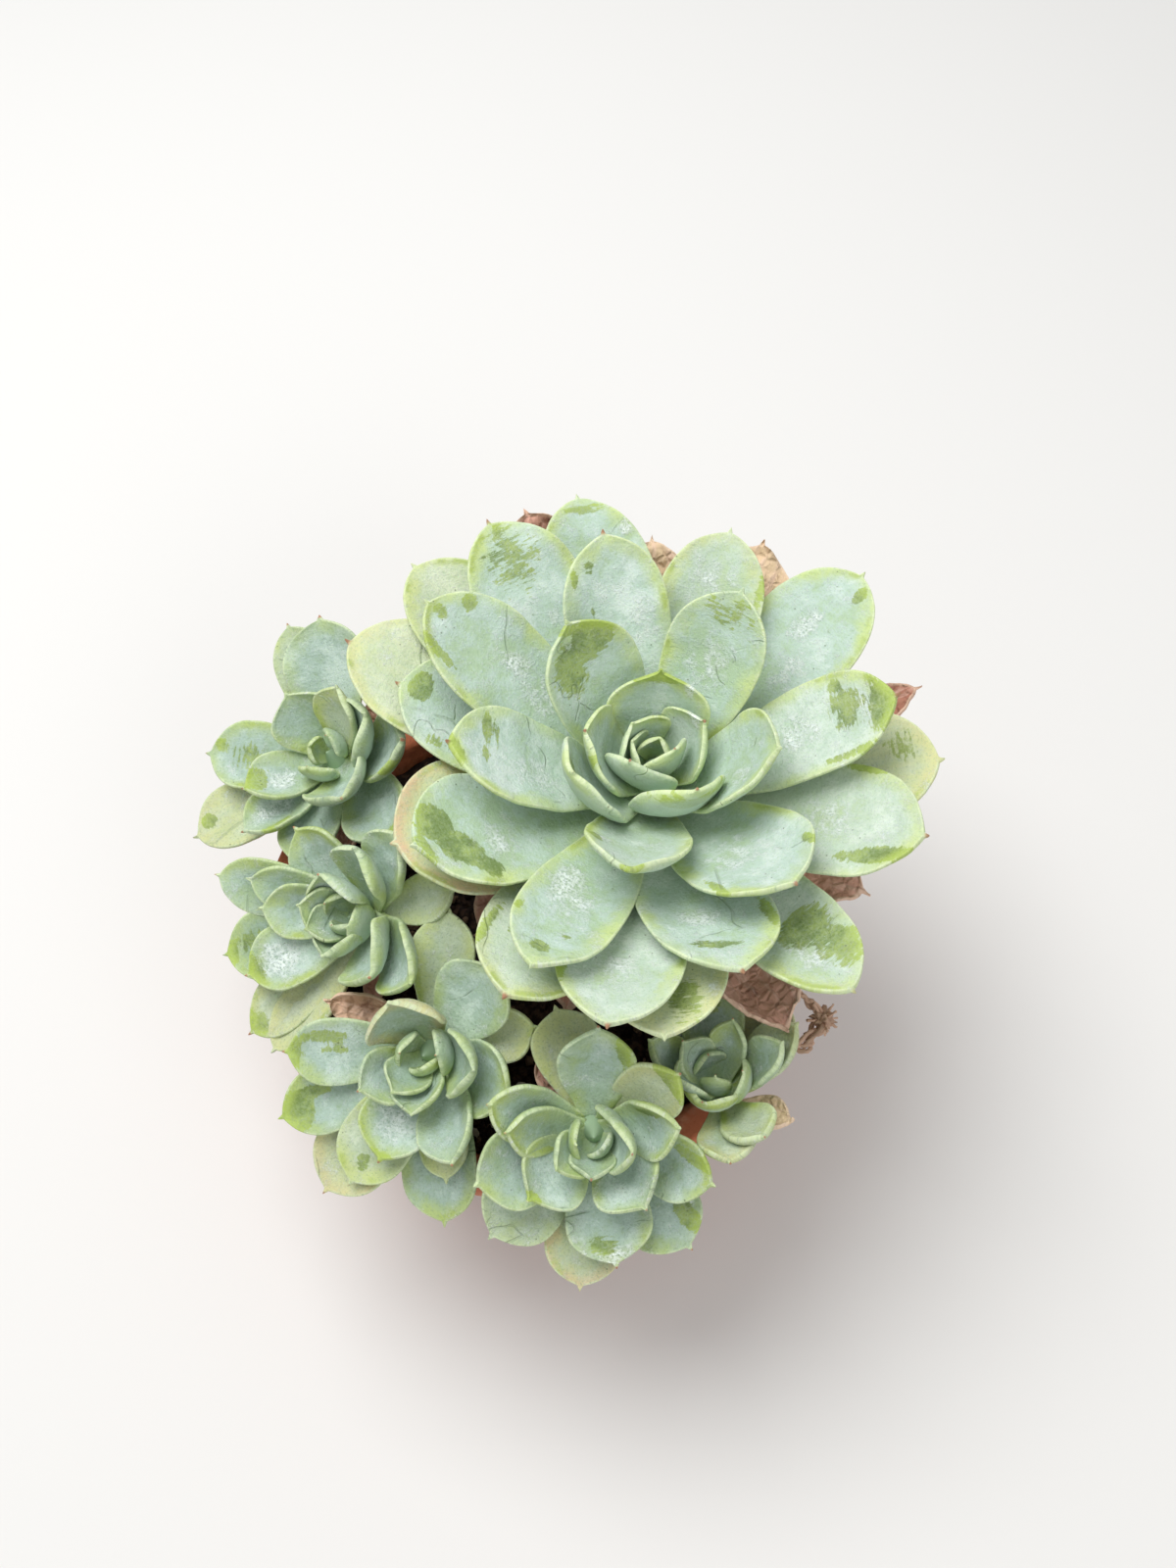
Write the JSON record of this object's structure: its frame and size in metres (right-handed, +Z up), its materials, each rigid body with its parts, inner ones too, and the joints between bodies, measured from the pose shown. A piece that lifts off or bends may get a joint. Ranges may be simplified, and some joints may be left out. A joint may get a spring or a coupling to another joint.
{
  "type": "potted glaucous echeveria",
  "caption": "Potted blue-green succulent: a large open rosette of fleshy cupped leaves with smaller offset rosettes round it, rooted in soil in a plain clay pot.",
  "frame": {"origin": "middle of the pot's flat underside", "axes": "+Z up along the pot's axis; the offset rosettes crowd towards -X and -Y, the side that the plant is looked at from"},
  "size_m": [0.2017, 0.2026, 0.1548],
  "materials": {
    "leaf": "matte waxy bloom",
    "dry_leaf": "matte papery",
    "clay": "matte unglazed",
    "soil": "matte crumbly"
  },
  "bodies": {
    "root": {"pot": "clay", "soil": "soil", "old_flower_stalk": "dry_leaf", "rosette_head": "leaf", "stem_head": "dry_leaf", "rosette_offset_1": "leaf", "stem_offset_1": "dry_leaf", "rosette_offset_2": "leaf", "stem_offset_2": "dry_leaf", "rosette_offset_3": "leaf", "stem_offset_3": "dry_leaf", "rosette_offset_4": "leaf", "stem_offset_4": "dry_leaf", "rosette_offset_5": "leaf", "stem_offset_5": "dry_leaf"}
  },
  "joints": []
}
